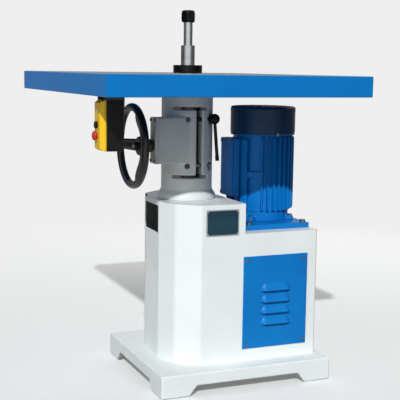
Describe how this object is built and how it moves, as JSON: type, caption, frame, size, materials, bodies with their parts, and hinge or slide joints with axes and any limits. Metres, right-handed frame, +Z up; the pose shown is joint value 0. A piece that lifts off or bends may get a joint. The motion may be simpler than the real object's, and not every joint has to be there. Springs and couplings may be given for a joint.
{
  "type": "spindle moulder",
  "caption": "Floor-standing woodworking spindle moulder: flat table on a column and cabinet, rising spindle with arbor, handwheel, belt drive and upright motor.",
  "frame": {"origin": "on the floor, in the middle of the footprint of table and base", "axes": "+Z up, +X from the handwheel end to the motor end, +Y from the operator's front to the back"},
  "size_m": [0.732, 0.86, 1.0464],
  "materials": {
    "white_paint": "gloss paint",
    "blue_paint": "gloss paint",
    "table_casting": "painted edges, ground top",
    "grey_casting": "grey paint on a casting",
    "bright_steel": "turned and ground",
    "zinc_screw": "zinc plated",
    "black_steel": "blackened",
    "black_enamel": "black enamel",
    "pulley_iron": "machined",
    "bronze": "machined",
    "belt_rubber": "matt",
    "plate_metal": "dark, bare",
    "yellow_plastic": "satin",
    "black_plastic": "matt",
    "red_plastic": "gloss",
    "lamp_lens": "translucent look"
  },
  "bodies": {
    "machine_frame": {"base_plinth": "white_paint", "cabinet_front": "white_paint", "cabinet_rear": "white_paint", "tower_top_plate": "white_paint", "tower_side": "white_paint", "motor_deck": "white_paint", "access_panel": "blue_paint", "motor_plate": "blue_paint", "motor_lower_shield": "blue_paint", "motor_frame": "blue_paint", "motor_upper_shield": "blue_paint", "fan_cover": "blue_paint", "terminal_box": "blue_paint", "terminal_box_lid": "blue_paint", "table": "table_casting", "column": "grey_casting", "boss_cover": "grey_casting", "insert_ring": "bright_steel", "motor_bearing_outer_rings": "bright_steel", "clamp_barrel_nuts": "bright_steel", "clamp_bolt": "bright_steel", "panel_screws": "zinc_screw", "column_bolts": "zinc_screw", "motor_plate_bolts": "zinc_screw", "motor_shield_bolts": "zinc_screw", "cover_screws": "zinc_screw", "switch_screws": "zinc_screw", "switch_bracket": "black_enamel", "stator": "pulley_iron", "pinion_bushes": "bronze", "drive_belt": "belt_rubber", "nameplate": "plate_metal", "switch_cover": "yellow_plastic", "switch_housing": "black_plastic", "contact_blocks": "black_plastic", "cable_gland": "black_plastic", "pilot_lamp": "lamp_lens"},
    "lock_lever": {"lock_screw": "black_steel", "lever_rod": "black_steel"},
    "handwheel": {"handwheel": "black_enamel", "pinion_shaft": "bright_steel", "handwheel_nut": "bright_steel"},
    "quill": {"quill": "bright_steel", "rack": "bright_steel", "quill_bearing_outer_rings": "bright_steel", "quill_caps": "bright_steel"},
    "spindle": {"spindle": "bright_steel", "spindle_spacers": "bright_steel", "spindle_collar": "black_steel", "arbor_nut": "black_steel", "drum_pulley": "pulley_iron", "drum_nut": "bright_steel", "quill_bearing_inner_rings": "bright_steel"},
    "motor_rotor": {"motor_rotor": "bright_steel", "motor_pulley": "pulley_iron", "motor_pulley_bolt": "zinc_screw", "motor_bearing_inner_rings": "bright_steel", "cooling_fan": "black_plastic"},
    "start_button": {"start_button": "black_plastic"},
    "stop_button": {"stop_button": "red_plastic"}
  },
  "joints": [
    {"name": "handwheel_turn", "type": "hinge", "parent": "machine_frame", "child": "handwheel", "pos_m": [-0.112, -0.045, 0.67], "axis": [1, 0, 0], "range_deg": [-381.9, 163.6]},
    {"name": "quill_slide", "type": "slide", "parent": "machine_frame", "child": "quill", "axis": [0, 0, 1], "range_m": [-0.07, 0.03]},
    {"name": "motor_spin", "type": "hinge", "parent": "machine_frame", "child": "motor_rotor", "pos_m": [0.25, 0, 0.6], "axis": [0, 0, 1], "continuous": true},
    {"name": "spindle_spin", "type": "hinge", "parent": "quill", "child": "spindle", "pos_m": [0.008, 0, 0.65], "axis": [0, 0, 1], "continuous": true},
    {"name": "lock_lever_turn", "type": "hinge", "parent": "machine_frame", "child": "lock_lever", "pos_m": [0.058, -0.058, 0.743], "axis": [1, 0, 0], "range_deg": [-75, 0]},
    {"name": "start_push", "type": "slide", "parent": "machine_frame", "child": "start_button", "axis": [1, 0, 0], "range_m": [0, 0.004], "stiffness_N_per_m": 400},
    {"name": "stop_push", "type": "slide", "parent": "machine_frame", "child": "stop_button", "axis": [1, 0, 0], "range_m": [0, 0.004], "stiffness_N_per_m": 400}
  ],
  "couplings": [
    {"joint": "quill_slide", "follows": "handwheel_turn", "m_per_rad": 0.0105},
    {"joint": "spindle_spin", "follows": "motor_spin", "ratio": 2.0857}
  ]
}
